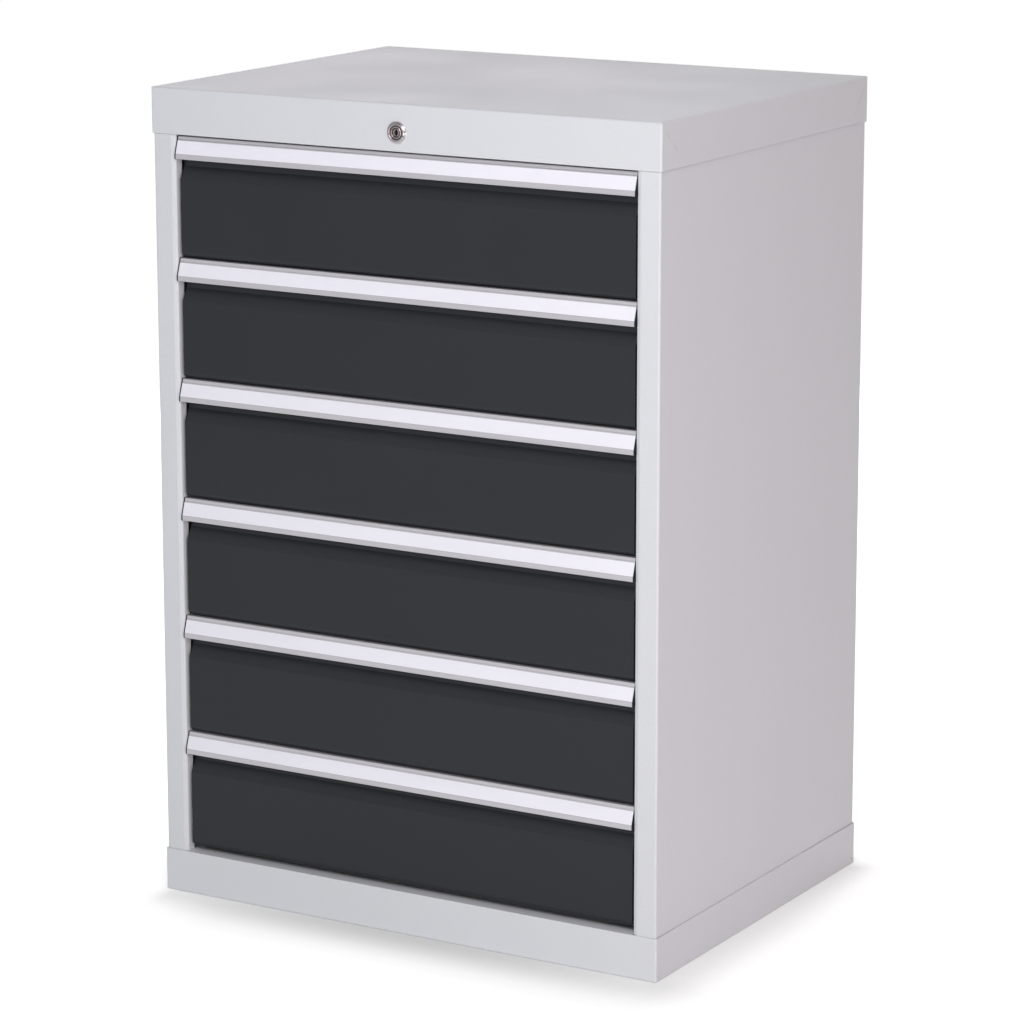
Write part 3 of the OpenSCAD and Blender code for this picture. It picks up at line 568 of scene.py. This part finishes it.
def makeFloor():
    # White floor with a painted shadow round the plinth: a soft shade painted into its colour and its own
    # light where the camera or a reflection meets it. t is the distance from the foot, in units of each
    # side's reach;
    # behind and on the left it starts "tuck" inside the foot. Reaches come in pairs: rear and left at the
    # side's middle and its ends, right at its front half and its rear end, front at its left end and from
    # "corner" along.
    # The painted tone rises on a smooth step of t from "dark", or from dark + ends towards the foot's ends,
    # to white. It is divided by "level", the light that the floor has anyway at the foot's middle and at its
    # right end, except past "plain", where it is plain white. "own" is the light that the floor gives off
    # itself where the camera or a reflection meets it.
    floorLook = {"size": 30.0, "white": 0.90, "own": 0.76, "level": (1.295, 1.37), "dark": 0.505,
                 "ends": 0.215, "front": (0.075, 0.105), "corner": 0.12, "right": (0.088, 0.045),
                 "rear": (0.12, 0.035), "left": (0.11, 0.037), "tuck": 0.02, "plain": (1.0, 1.6)}
    r = floorLook["size"]
    mesh = bpy.data.meshes.new("floor")
    mesh.from_pydata([(-r, -r, 0), (r, -r, 0), (r, r, 0), (-r, r, 0)], [], [(0, 1, 2, 3)])
    floor = bpy.data.objects.new("floor", mesh)
    bpy.context.scene.collection.objects.link(floor)
    material, shader = startMaterial("floorWhite")

    def compute(operation, *values):
        return calculate(material, operation, *values)

    def past(value, limit, reach):
        # how far a value is past its limit, in reaches
        return compute("DIVIDE", compute("SUBTRACT", value, limit), reach)

    def endness(value, limit):
        # 0 at the middle of a side, growing with the square of the distance to 1 at its ends
        share = compute("DIVIDE", value, limit)
        return compute("MINIMUM", compute("MULTIPLY", share, share), 1.0)

    place = addNode(material, "ShaderNodeTexCoord", {}).outputs["Object"]
    parts = addNode(material, "ShaderNodeSeparateXYZ", {"Vector": place}).outputs
    x, y = parts["X"], parts["Y"]
    ends = endness(x, plinthHigh.x)
    rear = spread(material, ends, *floorLook["rear"], 0, 1)
    left = spread(material, endness(y, plinthHigh.y), *floorLook["left"], 0, 1)
    right = spread(material, y, *floorLook["right"], 0, plinthHigh.y)
    front = spread(material, x, *floorLook["front"], plinthLow.x, plinthLow.x + floorLook["corner"])
    across = compute("MAXIMUM", past(x, plinthHigh.x, right),
                     compute("MULTIPLY", past(x, plinthLow.x + floorLook["tuck"], left), -1.0))
    along = compute("MAXIMUM", past(y, plinthHigh.y - floorLook["tuck"], rear),
                    compute("MULTIPLY", past(y, plinthLow.y, front), -1.0))
    outside = addNode(material, "ShaderNodeCombineXYZ", {0: compute("MAXIMUM", across, 0.0),
                                                         1: compute("MAXIMUM", along, 0.0)}).outputs[0]
    t = addNode(material, "ShaderNodeVectorMath", {0: outside}, operation="LENGTH").outputs["Value"]
    # the painted shadow's deepest tone, lighter towards the foot's ends
    dark = compute("MULTIPLY_ADD", ends, floorLook["ends"], floorLook["dark"])
    rise = addNode(material, "ShaderNodeMapRange", {"Value": t, "To Min": dark},
                   interpolation_type="SMOOTHSTEP").outputs[0]
    level = spread(material, x, *floorLook["level"], 0, plinthHigh.x)
    plain = spread(material, t, 0, 1, *floorLook["plain"])
    paintedShadow = compute("ADD", compute("DIVIDE", compute("SUBTRACT", rise, plain), level), plain)
    path = addNode(material, "ShaderNodeLightPath", {}).outputs
    seen = compute("MAXIMUM", path["Is Camera Ray"], path["Is Glossy Ray"])
    # the painted shadow only where the camera or a reflection meets the floor
    tone = compute("MAXIMUM", paintedShadow, compute("SUBTRACT", 1.0, seen))
    feed(material, shader, {
        "Base Color": blendColours(material, tone, (0, 0, 0, 1), shade((floorLook["white"],) * 3)),
        "Roughness": 1.0,
        "Specular IOR Level": 0.0,
        "Emission Color": (1, 1, 1, 1),
        "Emission Strength": compute("MULTIPLY", compute("MULTIPLY", seen, floorLook["own"]), tone)})
    mesh.materials.append(material)


def makeWorld():
    # plain white where a camera, glossy or transmission ray meets it, and a soft even light elsewhere
    sky = {"light": 0.27, "seen": 1.0}
    world = bpy.data.worlds.new("studio")
    world.use_nodes = True
    bpy.context.scene.world = world
    path = addNode(world, "ShaderNodeLightPath", {}).outputs
    direct = calculate(world, "MAXIMUM", path["Is Camera Ray"], path["Is Glossy Ray"])
    seen = calculate(world, "MAXIMUM", direct, path["Is Transmission Ray"])
    feed(world, world.node_tree.nodes["Background"], {
        "Color": (1, 1, 1, 1),
        "Strength": spread(world, seen, sky["light"], sky["seen"], 0, 1)})


def softbox(name, lamp):
    # a rectangular area lamp aimed at a point
    light = bpy.data.lights.new(name, "AREA")
    light.shape = "RECTANGLE"
    light.size, light.size_y = lamp["size"]
    light.energy = lamp["watts"]
    light.color = lamp["colour"]
    holder = bpy.data.objects.new(name, light)
    holder.location = lamp["place"]
    aim = Vector(lamp["aim"]) - Vector(lamp["place"])
    holder.rotation_euler = aim.to_track_quat("-Z", "Y").to_euler()
    bpy.context.scene.collection.objects.link(holder)


makeFloor()
makeWorld()
softboxes = {
    "keyBox": {"size": (2.0, 2.0), "watts": 45, "colour": (1.0, 0.98, 0.957),
               "place": (1.2, -2.4, 2.2), "aim": (0.2, 0, 0.6)},
    "frontBox": {"size": (2.0, 2.0), "watts": 12.5, "colour": (0.75, 0.73, 1.0),
                 "place": (0.3, -3.0, 2.3), "aim": (0, 0, 0.6)},
    "lowBoxRight": {"size": (1.6, 0.8), "watts": 15.5, "colour": (1.0, 0.77, 0.85),
                    "place": (2.6, -1.5, 0.45), "aim": (0.35, 0, 0.15)},
    "lowBoxFront": {"size": (1.8, 0.8), "watts": 11.5, "colour": (0.83, 1.0, 0.85),
                    "place": (1.0, -2.8, 0.45), "aim": (0.1, 0, 0.1)},
    "backBoxLeft": {"size": (2.4, 2.0), "watts": 9.5, "colour": (0.99, 0.90, 1.0),
                    "place": (-2.6, 3.2, 2.0), "aim": (0, 0, 0.5)},
    "backBoxRight": {"size": (2.4, 2.0), "watts": 15, "colour": (1.0, 0.80, 0.73),
                     "place": (0.9, 3.2, 2.8), "aim": (0, 0, 0.5)},
    "rearBox": {"size": (2.4, 0.8), "watts": 22, "colour": (1.0, 0.99, 0.98),
                "place": (-2.0, 2.6, 0.58), "aim": (0, 0, 0.5)},
}
for name, lamp in softboxes.items():
    softbox(name, lamp)
bpy.context.scene.view_settings.view_transform = "Standard"
print("floor, world and lamps set")
